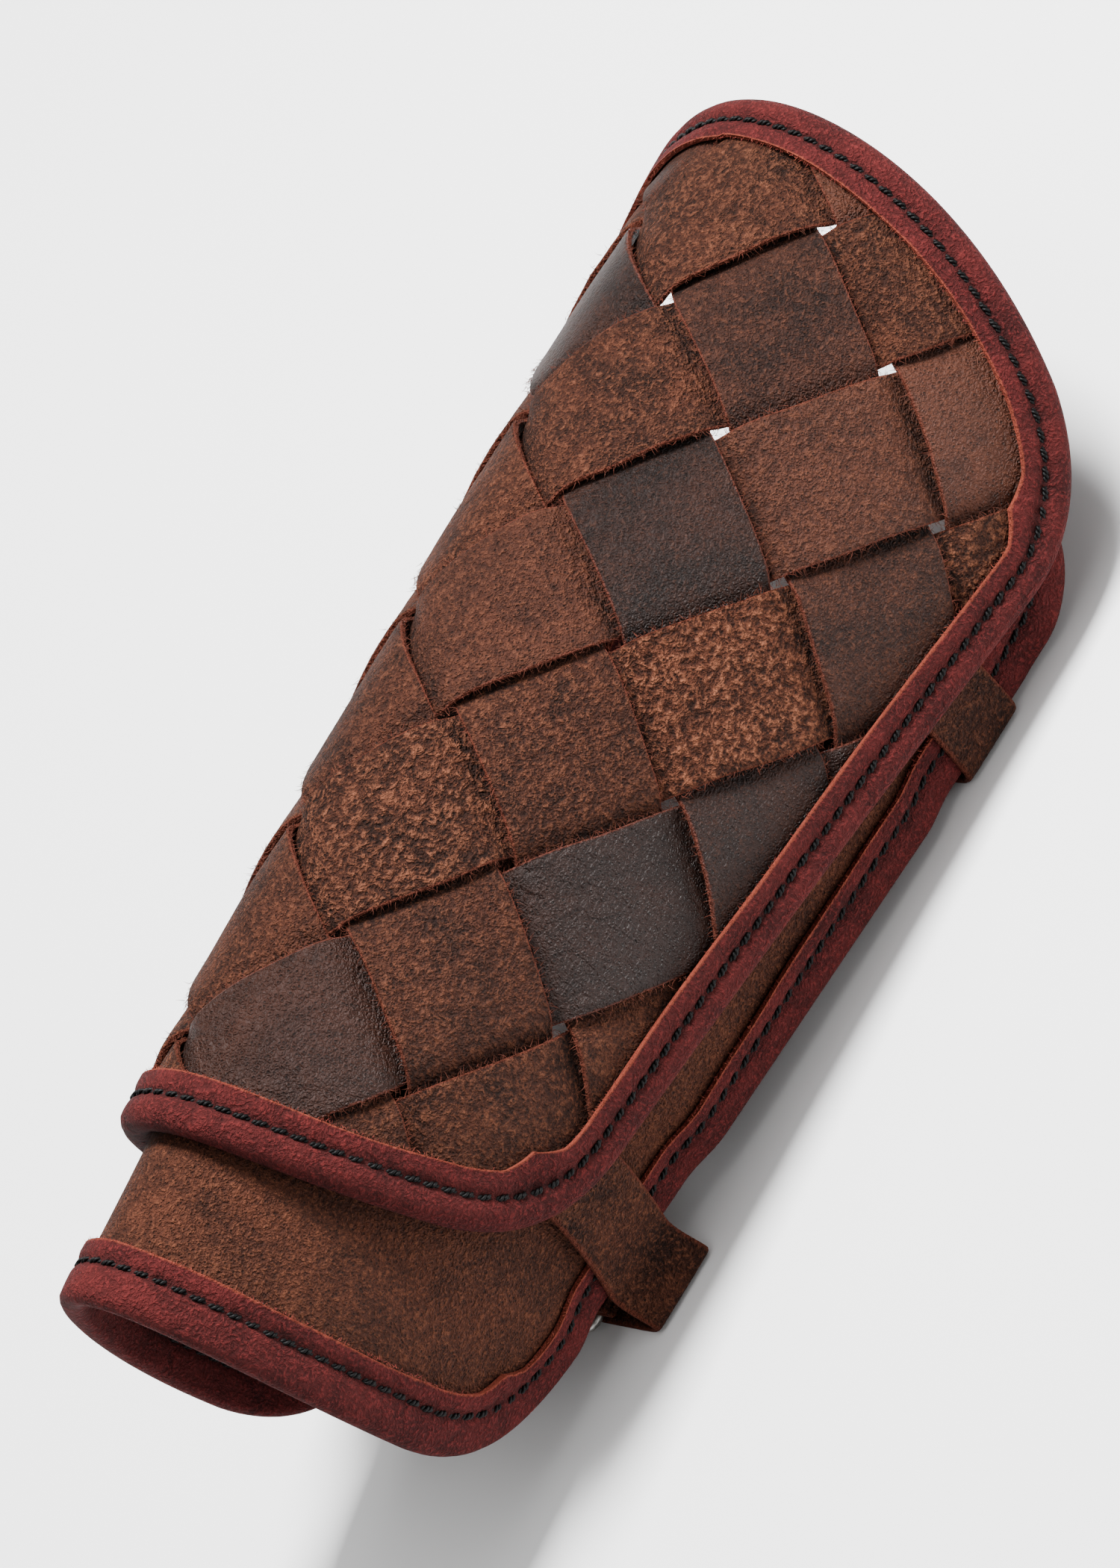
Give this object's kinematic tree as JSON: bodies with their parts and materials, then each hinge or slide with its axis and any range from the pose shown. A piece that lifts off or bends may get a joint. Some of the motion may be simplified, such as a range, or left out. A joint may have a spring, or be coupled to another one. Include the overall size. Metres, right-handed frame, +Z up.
{
  "type": "greave",
  "caption": "Leather shin guard: a plaited panel in a suede frame over a plain cuff, closed behind the leg by two buckled straps.",
  "frame": {"origin": "bottom centre of the overall box, on the ground that the greave lies on with its hollow down", "axes": "+X along the greave from ankle to knee, -Y to its buckled side, +Z up, out of the shin"},
  "size_m": [0.376, 0.1782, 0.1483],
  "materials": {
    "strip_leather": "oiled and worn, nap side out on most strips, smooth dark grain on some, frayed edges",
    "base_leather": "matt nap, darkened by wear",
    "suede": "wine-red suede with a short nap",
    "strap_leather": "worn nap outside, smooth inside",
    "buckle_metal": "plain dull grey metal"
  },
  "bodies": {
    "root": {"strip_rise_1": "strip_leather", "strip_rise_2": "strip_leather", "strip_rise_3": "strip_leather", "strip_rise_4": "strip_leather", "strip_rise_5": "strip_leather", "strip_rise_6": "strip_leather", "strip_rise_7": "strip_leather", "strip_rise_8": "strip_leather", "strip_fall_1": "strip_leather", "strip_fall_2": "strip_leather", "strip_fall_3": "strip_leather", "strip_fall_4": "strip_leather", "strip_fall_5": "strip_leather", "strip_fall_6": "strip_leather", "strip_fall_7": "strip_leather", "strip_fall_8": "strip_leather", "base_shell": "base_leather", "panel_binding": "suede", "base_binding": "suede", "strap_lower_buckled": "strap_leather", "strap_lower_billet": "strap_leather", "strap_upper_buckled": "strap_leather", "strap_upper_billet": "strap_leather", "buckle_lower": "buckle_metal", "buckle_upper": "buckle_metal"}
  },
  "joints": []
}
